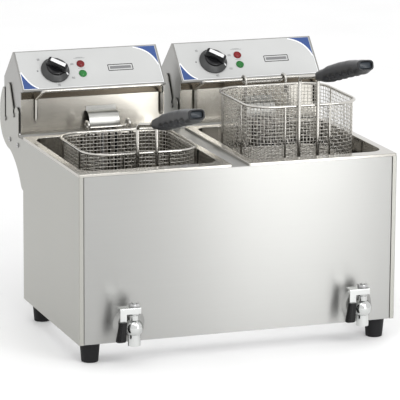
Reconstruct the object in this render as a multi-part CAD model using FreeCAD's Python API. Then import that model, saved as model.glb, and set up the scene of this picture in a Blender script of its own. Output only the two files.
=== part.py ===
import FreeCAD, Part
import math
import os

# Double-tank counter-top electric fryer. Millimetres, +Z up, +X to the right, front towards -Y.
# The origin is on the table, under the middle of the casing.

V = FreeCAD.Vector

# ---- driving dimensions -------------------------------------------------------------------
CASE_W, CASE_D, CASE_H = 555.0, 321.0, 280.0   # casing, without feet
FOOT_H = 34.0                                  # clear height under the casing
SHEET = 1.5                                    # casing sheet
THIN = 1.2                                     # head and tank sheet

TANK_W, TANK_DEPTH = 263.5, 165.0              # tank flange width and inner depth
FLANGE_H = 4.5                                 # flange stands this far over the casing
MOUTH_W, MOUTH_D, MOUTH_R = 236.0, 282.0, 25.0
MOUTH_SHIFT = 4.5                              # the mouth sits behind the middle of the flange
TANK_TAPER = 4.0                               # each wall leans in by this much at the bottom

TAP_X = (-193.0, 208.0)                        # left and right drain taps
TAP_REACH = 28.0                               # ball centre in front of the panel
TAP_Z = 31.5                                   # ball centre above the casing's bottom
BALL_R = 15.3
STEM_R = 4.0
PIPE_R = 10.0

HEAD_W = 258.4                                 # control head
HEAD_GAP = 14.8                                # half the gap between the two heads
HEAD_FRONT, HEAD_LIP, HEAD_BACK = 345.0, 335.0, 448.0   # from the casing's front face
HEAD_LOW, HEAD_LIP_Z, HEAD_KNEE_Z = 283.0, 359.5, 367.0  # from the casing's bottom
RIDGE_Y, RIDGE_Z = 392.5, 419.5
PLATE_TOP = 344.0                              # top of the polished front plate

KNOB_X, LAMP_X = 66.0, 114.0                   # from the head's left edge
KNOB_S, RED_S, GREEN_S = 39.0, 50.0, 30.0      # up the sloping panel from its lower edge
KNOB_R = 25.0
KNOB_TURN = -33.0                              # where the knob's bar lies at rest, degrees

RAIL_Y, RAIL_Z, RAIL_R = 299.6, 365.2, 2.6     # basket hanging rail
PIN_R, SLOT_R = 4.0, 4.4
REAR_PIN, FRONT_PIN = (432.0, 296.0), (380.7, 311.0)

BASKET_W, BASKET_D = 198.0, 193.0              # rim, on the wire centre
BASKET_R = 44.0                                # plan corners
BASKET_X = (-132.0, 153.0)
BASKET_Y = 190.0                               # basket centre from the casing's front face
LOWERED_Z, HUNG_Z = 292.6, 355.5               # rim height in the oil and on the rail
RIM_R, WIRE_R, THICK_R = 2.25, 1.6, 3.0
GRIP_W, GRIP_L = 28.0, 183.0
GRIP_ROOT = (65.0, 61.5)                       # in front of the basket, above the rim
GRIP_SLOPE = 15.1

ELEMENT_R = 3.25
ELEMENT_Z = 175.3

# ---- derived positions --------------------------------------------------------------------
FRONT, REAR = -CASE_D / 2, CASE_D / 2
BASE, TOP = FOOT_H, FOOT_H + CASE_H
HALF_W = CASE_W / 2
FLANGE_TOP = TOP + FLANGE_H
TANK_X = HALF_W - TANK_W / 2
TANK_FLOOR = FLANGE_TOP - TANK_DEPTH
SLOPE = math.degrees(math.atan2(RIDGE_Z - HEAD_LIP_Z, RIDGE_Y - HEAD_LIP))
SLOPE_L = math.hypot(RIDGE_Z - HEAD_LIP_Z, RIDGE_Y - HEAD_LIP)
SIDES = (("left", -1), ("right", 1))


# ---- shape helpers ------------------------------------------------------------------------
def at(depth, height):
    """Row Y and Z of a place given from the casing's front face and bottom."""
    return FRONT + depth, BASE + height


def box(x0, x1, y0, y1, z0, z1):
    return Part.makeBox(x1 - x0, y1 - y0, z1 - z0, V(x0, y0, z0))


def cyl(r, start, end):
    a, b = V(*start), V(*end)
    return Part.makeCylinder(r, (b - a).Length, a, b - a)


def cone(r0, r1, start, end):
    a, b = V(*start), V(*end)
    return Part.makeCone(r0, r1, (b - a).Length, a, b - a)


def fuse(shapes):
    whole = shapes[0].multiFuse(shapes[1:]) if len(shapes) > 1 else shapes[0]
    return whole.removeSplitter()


def rounded_rect(w, d, r, z, x=0.0, y=0.0):
    """Closed wire of a rounded rectangle in a level plane."""
    edges = []
    corners = ((w / 2 - r, d / 2 - r, 0), (r - w / 2, d / 2 - r, 90),
               (r - w / 2, r - d / 2, 180), (w / 2 - r, r - d / 2, 270))
    ends = []
    for cx, cy, start in corners:
        a, m, b = (V(x + cx + r * math.cos(math.radians(start + k)),
                     y + cy + r * math.sin(math.radians(start + k)), z) for k in (0, 45, 90))
        edges.append(Part.Arc(a, m, b).toShape())
        ends.append((a, b))
    for i in range(4):
        edges.append(Part.LineSegment(ends[i][1], ends[(i + 1) % 4][0]).toShape())
    return Part.Wire(Part.__sortEdges__(edges))


def pad(wire, height):
    return Part.Face(wire).extrude(V(0, 0, height))


def profile_x(points, x0, x1):
    """Prism along X of a closed outline of (y, z) points."""
    wire = Part.makePolygon([V(x0, y, z) for y, z in points] + [V(x0, *points[0])])
    return Part.Face(wire).extrude(V(x1 - x0, 0, 0))


def strip_x(points, thick, x0, x1):
    """Folded sheet along X: an open (y, z) path, given thickness on its left side."""
    left = []
    for i, (y, z) in enumerate(points):
        normals = []
        for a, b in ((i - 1, i), (i, i + 1)):
            if 0 <= a and b < len(points):
                dy, dz = points[b][0] - points[a][0], points[b][1] - points[a][1]
                size = math.hypot(dy, dz)
                normals.append((-dz / size, dy / size))
        ny, nz = sum(n[0] for n in normals), sum(n[1] for n in normals)
        size = math.hypot(ny, nz)
        ny, nz = ny / size, nz / size
        reach = thick / (ny * normals[0][0] + nz * normals[0][1])
        left.append((y + ny * reach, z + nz * reach))
    return profile_x(list(points) + left[::-1], x0, x1)


def bent_path(points, bend):
    """Straight runs joined by tangent arcs of one radius."""
    pts = [V(*p) for p in points]
    edges, last = [], pts[0]
    for i in range(1, len(pts) - 1):
        into = (pts[i] - pts[i - 1]).normalize()
        out = (pts[i + 1] - pts[i]).normalize()
        turn = into.getAngle(out)
        cut = bend * math.tan(turn / 2)
        a, b = pts[i] - into * cut, pts[i] + out * cut
        middle = (out - into).normalize()
        m = pts[i] + middle * (bend / math.cos(turn / 2) - bend)
        edges.append(Part.LineSegment(last, a).toShape())
        edges.append(Part.Arc(a, m, b).toShape())
        last = b
    edges.append(Part.LineSegment(last, pts[-1]).toShape())
    return Part.Wire(edges)


def rod(points, r, bend=8.0):
    """Round bar along a bent path."""
    path = bent_path(points, bend)
    a, b = V(*points[0]), V(*points[1])
    section = Part.Wire(Part.makeCircle(r, a, b - a))
    return path.makePipeShell([section], True, True)


def ring(wire_half, wire_other, r):
    """Closed wire ring swept in two halves that share their end faces."""
    halves = []
    for half in (wire_half, wire_other):
        start = half.OrderedVertexes[0].Point
        first = half.OrderedEdges[0]
        tangent = first.tangentAt(first.FirstParameter)
        if first.valueAt(first.FirstParameter).distanceToPoint(start) > 0.01:
            tangent = first.tangentAt(first.LastParameter)
        section = Part.Wire(Part.makeCircle(r, start, tangent))
        halves.append(half.makePipeShell([section], True, True))
    return fuse(halves)


def rounded_ring(w, d, corner, z, r):
    """Round wire bent to a rounded rectangle, about the Z axis."""
    halves = []
    for s in (1, -1):
        pts = [(0, s * d / 2, z), (s * w / 2, s * d / 2, z), (s * w / 2, -s * d / 2, z),
               (0, -s * d / 2, z)]
        halves.append(bent_path(pts, corner))
    return ring(halves[0], halves[1], r)


def on_panel(shape, x_left):
    """Place a shape drawn as (across, up the slope, out of the panel) on a head's panel."""
    y, z = at(HEAD_LIP, HEAD_LIP_Z)
    turn = FreeCAD.Rotation(V(1, 0, 0), SLOPE)
    shape.Placement = FreeCAD.Placement(V(x_left, y, z), turn).multiply(shape.Placement)
    return shape


def mirror_x(shape):
    return shape.mirror(V(0, 0, 0), V(1, 0, 0))


def moved(shape, x=0.0, y=0.0, z=0.0):
    shape.translate(V(x, y, z))
    return shape


def save(shape, node):
    if not shape.isValid():
        print("not valid:", node)
    shape.exportStep("parts/" + node + ".step")


# ---- casing -------------------------------------------------------------------------------
RETURN_W = 7.5                                 # side panel's fold round the front edge
FOLD = 12.0                                    # stiffening folds
EDGE = HALF_W - SHEET


def side_panel(sign):
    parts = [box(EDGE, HALF_W, FRONT, REAR, BASE, TOP),
             box(HALF_W - RETURN_W, HALF_W, FRONT, FRONT + SHEET, BASE, TOP),
             box(EDGE - FOLD, EDGE, FRONT + FOLD, REAR - SHEET, BASE + SHEET, BASE + 2 * SHEET)]
    panel = fuse(parts)
    corner = [e for e in panel.Edges if e.BoundBox.ZLength > CASE_H - 1
              and abs(e.BoundBox.XMax - HALF_W) < 0.01 and abs(e.BoundBox.YMin - FRONT) < 0.01]
    panel = panel.makeFillet(1.4, corner)
    return panel if sign > 0 else mirror_x(panel)


def front_panel():
    half = HALF_W - RETURN_W - 0.8
    deep = FRONT + 11
    face = [box(-half, half, FRONT, FRONT + SHEET, BASE + 0.8, TOP - 0.3)]
    for s in (-1, 1):
        x0, x1 = sorted((s * half, s * (half - SHEET)))
        face.append(box(x0, x1, FRONT, deep, BASE + 2 * SHEET, TOP - SHEET - 0.3))
    face.append(box(-half, half, FRONT, deep, TOP - 2 * SHEET - 0.3, TOP - SHEET - 0.3))
    face.append(box(-half + 8, half - 8, FRONT, deep, BASE + SHEET, BASE + 2 * SHEET))
    panel = fuse(face)
    uprights = [e for e in panel.Edges if e.BoundBox.ZLength > CASE_H - 4
                and abs(e.BoundBox.YMin - FRONT) < 0.01 and e.BoundBox.YLength < 0.01
                and abs(abs(e.BoundBox.XMin) - half) < 0.01]
    panel = panel.makeFillet(1.2, uprights)
    for x in TAP_X:
        panel = panel.cut(cyl(PIPE_R + 0.6, (x, FRONT - 5, BASE + TAP_Z), (x, FRONT + 5, BASE + TAP_Z)))
    return panel


def slots(x, y, z, length, width, count, pitch, along):
    """Row of round-ended vent slots cut through in Y or Z."""
    cutters = []
    for i in range(count):
        dx = (i - (count - 1) / 2) * pitch
        if along == "Y":
            ends = [(x + dx, z - length / 2), (x + dx, z + length / 2)]
            body = box(x + dx - width / 2, x + dx + width / 2, y - 5, y + 5, ends[0][1], ends[1][1])
            caps = [cyl(width / 2, (ex, y - 5, ez), (ex, y + 5, ez)) for ex, ez in ends]
        else:
            ends = [(x + dx, y - length / 2), (x + dx, y + length / 2)]
            body = box(x + dx - width / 2, x + dx + width / 2, ends[0][1], ends[1][1], z - 5, z + 5)
            caps = [cyl(width / 2, (ex, ey, z - 5), (ex, ey, z + 5)) for ex, ey in ends]
        cutters.append(fuse([body] + caps))
    return cutters


def rear_panel():
    panel = box(-EDGE, EDGE, REAR - SHEET, REAR, BASE + SHEET, TOP)
    for s in (-1, 1):
        for cutter in slots(s * 140, REAR, BASE + 60, 45, 6, 12, 14, "Y"):
            panel = panel.cut(cutter)
    return panel


FOOT_X, FOOT_INSET = 252.0, 25.0
FEET = [(sx * FOOT_X, sy * (CASE_D / 2 - FOOT_INSET)) for sx in (-1, 1) for sy in (-1, 1)]


def base_plate():
    plate = box(-EDGE, EDGE, FRONT + SHEET, REAR, BASE, BASE + SHEET)
    for s in (-1, 1):
        for cutter in slots(s * 120, 0, BASE, 90, 7, 9, 16, "Z"):
            plate = plate.cut(cutter)
    for x, y in FEET:
        plate = plate.cut(cyl(2.6, (x, y, BASE - 5), (x, y, BASE + 5)))
    return plate


def rubber_feet():
    """Four tapered feet, each recessed for its screw."""
    feet = []
    for x, y in FEET:
        foot = cone(14.0, 17.0, (x, y, 0), (x, y, BASE))
        foot = foot.makeFillet(1.5, [e for e in foot.Edges if e.BoundBox.ZMax < 0.5])
        foot = foot.cut(cyl(6.0, (x, y, -1), (x, y, FOOT_H - 8)))
        feet.append(foot.cut(cyl(2.7, (x, y, -1), (x, y, FOOT_H + 1))))
    return Part.makeCompound(feet)


def top_frame():
    """Plate under the tank flanges, with the strip that shows between them."""
    frame = box(-EDGE, EDGE, FRONT + SHEET + 0.1, REAR - SHEET, TOP - SHEET, TOP)
    for _, s in SIDES:
        hole = rounded_rect(MOUTH_W + 5, MOUTH_D + 5, MOUTH_R + 2, TOP - 5, s * TANK_X, MOUTH_SHIFT)
        frame = frame.cut(pad(hole, 10))
    return frame


# ---- tanks and drains ---------------------------------------------------------------------
DRAIN_Y = 66.0                                 # drain hole behind the front face
SOCKET = 7.0                                   # the valve starts this far in front of the panel


def tank(index):
    """Pan with a turned-down flange, leaning walls, rounded floor and a drain elbow."""
    sign = SIDES[index][1]
    x = sign * TANK_X
    skirt = pad(rounded_rect(TANK_W, CASE_D, 3, TOP, x, 0), FLANGE_H)
    rim = [e for e in skirt.Edges if e.BoundBox.ZMin > FLANGE_TOP - 0.01]
    skirt = skirt.makeFillet(1.4, rim)
    hollow = pad(rounded_rect(TANK_W - 2 * THIN, CASE_D - 2 * THIN, 2, TOP - 1, x, 0),
                 FLANGE_H + 1 - THIN)
    flange = skirt.cut(hollow)

    def pan(grow, floor, top):
        upper = rounded_rect(MOUTH_W + 2 * grow, MOUTH_D + 2 * grow, MOUTH_R + grow, top,
                             x, MOUTH_SHIFT)
        lower = rounded_rect(MOUTH_W - 2 * TANK_TAPER + 2 * grow, MOUTH_D - 2 * TANK_TAPER + 2 * grow,
                             MOUTH_R + grow, floor, x, MOUTH_SHIFT)
        solid = Part.makeLoft([lower, upper], True, True)
        low = [e for e in solid.Edges if e.BoundBox.ZMax < floor + 0.01]
        return solid.makeFillet(14 + grow, low)

    outside = pan(THIN, TANK_FLOOR - THIN, FLANGE_TOP)
    inside = pan(0, TANK_FLOOR, FLANGE_TOP)
    body = fuse([flange, outside]).cut(inside)
    mouth = [e for e in body.Edges if e.BoundBox.ZMin > FLANGE_TOP - 0.01
             and abs(e.BoundBox.Center.x - x) < MOUTH_W / 2 + 1
             and abs(e.BoundBox.Center.y - MOUTH_SHIFT) < MOUTH_D / 2 + 1
             and e.BoundBox.DiagonalLength < MOUTH_D + 1]
    try:
        body = body.makeFillet(1.0, mouth)
    except Part.OCCError:
        print("tank mouth left sharp")
    x, y, z = TAP_X[index], FRONT + DRAIN_Y, BASE + TAP_Z
    elbow = [(x, y, TANK_FLOOR - THIN / 2), (x, y, z), (x, FRONT - SOCKET, z)]
    bore = [(x, y, TANK_FLOOR + 5), (x, y, z), (x, FRONT - SOCKET - 5, z)]
    return fuse([body, rod(elbow, PIPE_R, 24)]).cut(rod(bore, PIPE_R - 2, 24))


def drain_rosette(index):
    """Dished cover ring round the pipe, against the front panel."""
    x, z = TAP_X[index], BASE + TAP_Z
    disc = cone(27.0, 20.0, (x, FRONT, z), (x, FRONT - 4.0, z))
    groove = cyl(17.5, (x, FRONT - 2.8, z), (x, FRONT - 6, z)).cut(
        cyl(13.5, (x, FRONT - 2.8, z), (x, FRONT - 6, z)))
    return disc.cut(groove).cut(cyl(PIPE_R + 0.3, (x, FRONT + 1, z), (x, FRONT - 6, z)))


BALL_SEAT = 9.0
BONNET_TOP = 52.5                              # above the casing's bottom
LEVER_TOP = 66.7


def tap_centre(index):
    return TAP_X[index], FRONT - TAP_REACH, BASE + TAP_Z


def hexagon(x, y, z, across, height):
    """Upright hexagonal prism, given across its flats."""
    r = across / math.sqrt(3)
    turns = [math.radians(60 * k + 20) for k in range(7)]
    wire = Part.makePolygon([V(x + r * math.cos(t), y + r * math.sin(t), z) for t in turns])
    return pad(wire, height)


def valve_body(index):
    """Ball housing with its inlet, bonnet and hanging spout."""
    x, y, z = tap_centre(index)
    inlet_end = FRONT - SOCKET
    body = fuse([Part.makeSphere(BALL_R, V(x, y, z)),
                 cyl(11.5, (x, inlet_end, z), (x, inlet_end - 6, z)),
                 cyl(9.0, (x, inlet_end - 5, z), (x, y, z)),
                 cyl(10.6, (x, y, z), (x, y, BASE + 1.5)),
                 cyl(8.0, (x, y, z), (x, y, BASE + BONNET_TOP)),
                 hexagon(x, y, BASE + BONNET_TOP - 1, 14.0, 11.0)])
    for hollow in (Part.makeSphere(BALL_SEAT, V(x, y, z)),
                   cyl(6.0, (x, FRONT, z), (x, y, z)),
                   cyl(8.0, (x, y, z), (x, y, BASE - 5)),
                   cyl(STEM_R + 0.05, (x, y, z), (x, y, BASE + 80))):
        body = body.cut(hollow)
    return body


def valve_stem(index):
    """Bored ball and the stem that turns it."""
    x, y, z = tap_centre(index)
    ball = Part.makeSphere(BALL_SEAT - 0.3, V(x, y, z)).cut(cyl(5.0, (x - 20, y, z), (x + 20, y, z)))
    stem = cyl(STEM_R, (x, y, z + 6.5), (x, y, BASE + LEVER_TOP + 6.5))
    return fuse([ball, stem])


LIP = 11.0                                     # lever's front face before the stem


def tap_lever(index):
    """Pressed lever: a plate on the stem, a front lip and a tab down into the grip."""
    x, y, _ = tap_centre(index)
    top = BASE + LEVER_TOP
    front = y - LIP
    sheet = fuse([box(x - 27, x + 8.5, front, y + 8, top - 2, top),
                  box(x - 27, x + 8.5, front, front + 2, top - 10, top),
                  box(x - 27, x - 16, front, front + 2, top - 40, top)])
    long_edges = [e for e in sheet.Edges if e.BoundBox.XLength > 30
                  and abs(e.BoundBox.YMin - front) < 0.01 and abs(e.BoundBox.ZMax - top) < 0.01]
    sheet = sheet.makeFillet(1.6, long_edges)
    return sheet.cut(cyl(STEM_R + 0.05, (x, y, top - 20), (x, y, top + 5)))


def tap_grip(index):
    """Tapered ribbed sleeve on the lever's tab."""
    x, y, _ = tap_centre(index)
    top, low = BASE + 44.0, BASE + 11.0
    yc = y - LIP + 1.0
    sections = []
    for z, xc, w, d in ((top, x - 22.0, 13.0, 9.0), (low, x - 26.3, 17.0, 12.0)):
        sections.append(rounded_rect(w, d, 3.5, z, xc, yc))
    grip = Part.makeLoft(sections, True, True)
    grip = grip.makeFillet(1.5, [e for e in grip.Edges if e.BoundBox.ZMax < low + 0.1])
    tab = box(x - 27, x - 16, y - LIP, y - LIP + 2, BASE + LEVER_TOP - 40, BASE + LEVER_TOP)
    return grip.cut(tab)


def tap_nut(index):
    x, y, _ = tap_centre(index)
    z = BASE + LEVER_TOP
    nut = hexagon(x, y, z, 16.0, 5.0).common(cone(11.0, 8.0, (x, y, z), (x, y, z + 6.0)))
    return nut.cut(cyl(STEM_R + 0.05, (x, y, z - 1), (x, y, z + 10)))


# ---- brackets that carry the heads --------------------------------------------------------
BRACKET_OUT = HALF_W - 1.5                     # outer face of an outer bracket
TIE_SCREWS = ((405.0, 264.0), (355.0, 263.3))
FLANGE_SCREWS_Z = (205.0, 262.0)


def arc_edge(a, m, b):
    return Part.Arc(*(V(0, *at(*p)) for p in (a, m, b))).toShape()


def line_edge(a, b):
    return Part.LineSegment(V(0, *at(*a)), V(0, *at(*b))).toShape()


def bracket_outline():
    """Slotted side plate: short front finger, tall middle finger, rounded rear finger."""
    fy, fz = FRONT_PIN
    ry, rz = REAR_PIN
    s = SLOT_R
    pts = {"ledge": (CASE_D, 278), "step": (353, 278), "front": (353, 319)}
    edges = [line_edge(pts["ledge"], pts["step"]), line_edge(pts["step"], pts["front"]),
             arc_edge(pts["front"], (361, 327), (372, 325)),
             arc_edge((372, 325), (375, 323), (fy - s, 319)),
             line_edge((fy - s, 319), (fy - s, fz)),
             arc_edge((fy - s, fz), (fy, fz - s), (fy + s, fz)),
             line_edge((fy + s, fz), (fy + s, 320)),
             line_edge((fy + s, 320), (405, 358)),
             arc_edge((405, 358), (411, 362.5), (418, 360)),
             arc_edge((418, 360), (424, 355), (ry - s, 347)),
             line_edge((ry - s, 347), (ry - s, rz)),
             arc_edge((ry - s, rz), (ry, rz - s), (ry + s, rz)),
             line_edge((ry + s, rz), (ry + s, 346)),
             arc_edge((ry + s, 346), (443, 349.5), (450, 345)),
             arc_edge((450, 345), (463, 325), (467.5, 300)),
             arc_edge((467.5, 300), (462, 274), (442, 255.5)),
             arc_edge((442, 255.5), (430, 250), (407, 246)),
             arc_edge((407, 246), (370, 228), (340, 197)),
             arc_edge((340, 197), (333, 191), (CASE_D, 190)),
             line_edge((CASE_D, 190), pts["ledge"])]
    return Part.Wire(edges)


def bracket(x_face, inward):
    """One slotted plate at x_face, SHEET thick towards inward, with its screw flange."""
    plate = Part.Face(bracket_outline()).extrude(V(inward * SHEET, 0, 0))
    plate.translate(V(x_face, 0, 0))
    x0, x1 = sorted((x_face, x_face + inward * 15))
    _, z0 = at(0, 190)
    _, z1 = at(0, 275)
    whole = fuse([plate, box(x0, x1, REAR, REAR + SHEET, z0, z1)])
    for depth, height in TIE_SCREWS:
        y, z = at(depth, height)
        whole = whole.cut(cyl(2.1, (x_face - 5, y, z), (x_face + 5, y, z)))
    for height in FLANGE_SCREWS_Z:
        x = x_face + inward * 9
        z = BASE + height
        whole = whole.cut(cyl(2.1, (x, REAR - 5, z), (x, REAR + 5, z)))
    return whole


def bracket_faces(sign):
    """Outer faces of a head's outer and inner bracket, with the way to its middle."""
    outer = (sign * BRACKET_OUT, -sign)
    inner = (sign * (HEAD_GAP - 2.8), sign)
    return outer, inner


def bracket_tie(sign):
    """Cross piece between the two brackets of one head."""
    xs = sorted((sign * (BRACKET_OUT - SHEET), sign * (HEAD_GAP - 1.3)))
    y0, z0 = at(348, 257)
    y1, z1 = at(412, 269)
    tie = fuse([box(xs[0], xs[1], y0, y1, z1 - SHEET, z1),
                box(xs[0], xs[0] + SHEET, y0, y1, z0, z1),
                box(xs[1] - SHEET, xs[1], y0, y1, z0, z1)])
    for depth, height in TIE_SCREWS:
        y, z = at(depth, height)
        for x in xs:
            tie = tie.cut(cyl(2.1, (x - 5, y, z), (x + 5, y, z)))
    return tie


def screw(place, way, shank):
    """Pan-head screw; place is under the head, way points out of the head."""
    p, w = V(*place), V(*way)
    head = Part.makeCylinder(4.0, 1.4, p, w)
    crown = Part.makeCone(4.0, 2.6, 0.9, p + w * 1.4, w)
    body = Part.makeCylinder(2.0, shank, p - w * shank, w)
    slot = Part.makeBox(0.9, 10, 2, V(-0.45, -5, 0))
    slot.Placement = FreeCAD.Placement(p + w * 1.5, FreeCAD.Rotation(V(0, 0, 1), w))
    return fuse([head, crown, body]).cut(slot)


def casing_screws():
    """Bracket, tie and foot screws."""
    screws = []
    for _, sign in SIDES:
        for x_face, inward in bracket_faces(sign):
            for depth, height in TIE_SCREWS:
                y, z = at(depth, height)
                screws.append(screw((x_face, y, z), (-inward, 0, 0), 2 * SHEET + 1))
            for height in FLANGE_SCREWS_Z:
                place = (x_face + inward * 9, REAR + SHEET, BASE + height)
                screws.append(screw(place, (0, 1, 0), SHEET))
    for x, y in FEET:
        screws.append(screw((x, y, FOOT_H - 8), (0, 0, -1), 12))
    return Part.makeCompound(screws)


# ---- control heads ------------------------------------------------------------------------
def head_left_x(sign):
    """X of a head's left-hand edge."""
    return -HEAD_GAP - HEAD_W if sign < 0 else HEAD_GAP


def head_section(inset=0.0):
    """Side outline of the head, optionally shrunk for its inside."""
    lip_back = HEAD_FRONT + 1.5
    pts = [at(lip_back, HEAD_LIP_Z - 2), at(HEAD_LIP + 1.5, HEAD_LIP_Z - 2), at(HEAD_LIP, HEAD_LIP_Z),
           at(RIDGE_Y, RIDGE_Z), at(HEAD_BACK, HEAD_KNEE_Z), at(HEAD_BACK, HEAD_LOW)]
    if not inset:
        return pts + [at(lip_back, HEAD_LOW)]
    wire = Part.makePolygon([V(0, *p) for p in pts + [at(lip_back, HEAD_LOW), pts[0]]])
    inner = wire.makeOffset2D(-inset, 2)
    return [(v.Point.y, v.Point.z) for v in inner.OrderedVertexes]


def panel_hole(x_left, x, s, r):
    return on_panel(Part.makeCylinder(r, 12, V(x, s, -8)), x_left)


def head_housing(sign):
    """Folded cover with two cheeks, open below and in front, with four support studs."""
    x0 = head_left_x(sign)
    x1 = x0 + HEAD_W
    shell = profile_x(head_section(), x0, x1)
    ridge = [e for e in shell.Edges if e.BoundBox.XLength > HEAD_W - 1
             and e.BoundBox.ZMin > at(0, HEAD_KNEE_Z)[1] - 1]
    shell = shell.makeFillet(2.0, ridge)
    inner = profile_x(head_section(THIN), x0 + THIN, x1 - THIN)
    y0, z0 = at(HEAD_FRONT - 2, HEAD_LOW - 5)
    y1, z1 = at(HEAD_BACK - THIN, HEAD_LOW + 10)
    below = box(x0 + THIN, x1 - THIN, y0, y1, z0, z1)
    _, z2 = at(0, HEAD_LIP_Z - 2 - 0.01)
    front = box(x0 + THIN, x1 - THIN, y0, y0 + 12, z0, z2)
    shell = shell.cut(fuse([inner, below, front]))
    for x, s, r in ((KNOB_X, KNOB_S, 4.5), (LAMP_X, RED_S, 5.2), (LAMP_X, GREEN_S, 5.2)):
        shell = shell.cut(panel_hole(x0, x, s, r))
    studs = []
    for depth, height in (REAR_PIN, FRONT_PIN):
        y, z = at(depth, height)
        studs.append(cyl(PIN_R, (x0 + THIN / 2, y, z), (x0 - 4.5, y, z)))
        studs.append(cyl(PIN_R, (x1 - THIN / 2, y, z), (x1 + 4.5, y, z)))
    shell = fuse([shell] + studs)
    mid = (x0 + x1) / 2
    yb, zg = at(HEAD_BACK, 0)[0], BASE + GLAND_Z
    for x, z, r in ((mid + GLAND_X, zg, 8.1), (mid + RESET_X, zg, 5.1)):
        shell = shell.cut(cyl(r, (x, yb - 6, z), (x, yb + 3, z)))
    return shell


LEG_INSET = (26.0, 6.5)                        # rail legs from the head's left and right edges
BAR_INSET = (27.0, 20.0)                       # the same for the ends of the bar
RAIL_FOOT, RAIL_BEND = 306.5, 345.0


def head_front_plate(sign):
    """Polished front, set back above its top edge, in one with the bottom tray."""
    x0 = head_left_x(sign)
    x1 = x0 + HEAD_W
    path = [at(HEAD_BACK - THIN - 0.2, HEAD_LOW), at(HEAD_FRONT, HEAD_LOW), at(HEAD_FRONT, PLATE_TOP),
            at(HEAD_FRONT + 5, PLATE_TOP), at(HEAD_FRONT + 5, HEAD_LIP_Z - 3.4)]
    upper = strip_x(path[2:], -THIN, x0 + THIN + 0.2, x1 - THIN - 0.2)
    tray = strip_x(path[:2], -THIN, x0 + THIN + 0.2, x1 - THIN - 0.2)
    y0, z0 = at(HEAD_FRONT, HEAD_LOW)
    _, z1 = at(0, PLATE_TOP)
    plate = fuse([box(x0, x1, y0, y0 + THIN, z0, z1), tray, upper])
    for x in (x0 + LEG_INSET[0], x1 - LEG_INSET[1]):
        y, z = at(HEAD_FRONT, RAIL_FOOT)
        plate = plate.cut(cyl(RAIL_R + 0.1, (x, y - 5, z), (x, y + 5, z)))
    for x in element_leg_x(sign):
        y, z = at(HEAD_FRONT, ELEMENT_OUT)
        plate = plate.cut(cyl(ELEMENT_R + 0.2, (x, y - 5, z), (x, y + 5, z)))
    y, z = at(HEAD_FRONT, ELEMENT_OUT)
    for x in probe_x(sign):
        plate = plate.cut(cyl(TUBE_R + 0.2, (x, y - 5, z), (x, y + 5, z)))
    return plate


def control_overlay(sign):
    """Printed sheet on the sloping panel."""
    sheet = Part.makeBox(HEAD_W - 6, SLOPE_L - 6, 0.4, V(3, 3.2, 0))
    for x, s, r in ((KNOB_X, KNOB_S, 4.5), (LAMP_X, RED_S, 5.2), (LAMP_X, GREEN_S, 5.2)):
        sheet = sheet.cut(Part.makeCylinder(r, 5, V(x, s, -2)))
    return on_panel(sheet, head_left_x(sign))


def knob(sign):
    """Skirted thermostat knob with a raised bar and a bore for the shaft."""
    skirt = Part.makeCone(KNOB_R, KNOB_R - 2.5, 9.5, V(0, 0, 1.2))
    skirt = skirt.makeFillet(1.2, [skirt.Edges[0]])
    disc = Part.makeCylinder(17.5, 3.0, V(0, 0, 10.5))
    bar = Part.makeLoft([rounded_rect(39, 15, 6, 10), rounded_rect(35, 9.5, 4.5, 27)], True, True)
    bar = bar.makeFillet(0.8, [e for e in bar.Edges if e.BoundBox.ZMin > 26.9])
    turned = fuse([skirt, disc, bar]).cut(Part.makeCylinder(3.05, 22, V(0, 0, 0)))
    turned.rotate(V(0, 0, 0), V(0, 0, 1), KNOB_TURN)
    return on_panel(moved(turned, KNOB_X, KNOB_S), head_left_x(sign))


def lamp(sign, s):
    """Neon lamp: domed lens, bezel and body behind the panel."""
    lens = Part.makeSphere(8.5, V(0, 0, -4.5)).common(Part.makeCylinder(6.3, 10, V(0, 0, 0.8)))
    bezel = Part.makeCylinder(7.0, 1.0, V(0, 0, 0.4))
    body = Part.makeCylinder(4.9, 24, V(0, 0, -23))
    whole = fuse([lens, bezel, body])
    return on_panel(moved(whole, LAMP_X, s), head_left_x(sign))


def thermostat(sign):
    """Thermostat body under the panel, with its shaft up into the knob."""
    body = Part.makeBox(42, 40, 26, V(-21, -20, -30))
    neck = Part.makeCylinder(4.3, 6, V(0, 0, -5))
    shaft = Part.makeCylinder(3.0, 18, V(0, 0, 0))
    whole = on_panel(moved(fuse([body, neck, shaft]), KNOB_X, KNOB_S), head_left_x(sign))
    x = head_left_x(sign) + KNOB_X + 12
    inner = [(x, *at(382, 372)), (x, *at(382, 330)), (probe_x(sign)[0], *at(382, ELEMENT_OUT + 8))]
    return fuse([whole, *probe(sign, 0, inner)])


def basket_rail(sign):
    """Bent rod along the front of a head, its feet through the front plate."""
    left, right = head_left_x(sign), head_left_x(sign) + HEAD_W
    y_leg = HEAD_FRONT - 5.5
    leg = [(HEAD_FRONT + 6, RAIL_FOOT), (y_leg, RAIL_FOOT), (y_leg, RAIL_BEND)]
    route = [(left + LEG_INSET[0], *at(*p)) for p in leg]
    route += [(left + BAR_INSET[0], *at(RAIL_Y, RAIL_Z)), (right - BAR_INSET[1], *at(RAIL_Y, RAIL_Z))]
    route += [(right - LEG_INSET[1], *at(*p)) for p in leg[::-1]]
    return rod(route, RAIL_R, 5.0)


ENTRY_X = 143.0                                # middle of the element's exit, from the left edge
ELEMENT_OUT = 289.0                            # height at which it leaves the head
ELEMENT_REAR = 297.0                           # depth of its falling legs
LEG_PITCH = 12.0
TUBE_R, BULB_R = 1.5, 2.4                      # thermostat capillary and bulb


def head_middle(sign):
    return head_left_x(sign) + HEAD_W / 2


def element_leg_x(sign):
    return [head_left_x(sign) + ENTRY_X + LEG_PITCH * (k - 1.5) for k in range(4)]


def probe_x(sign):
    """Capillaries of the control and the safety thermostat, between the element's legs."""
    return [head_left_x(sign) + ENTRY_X + s * LEG_PITCH for s in (-1, 1)]


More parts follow.
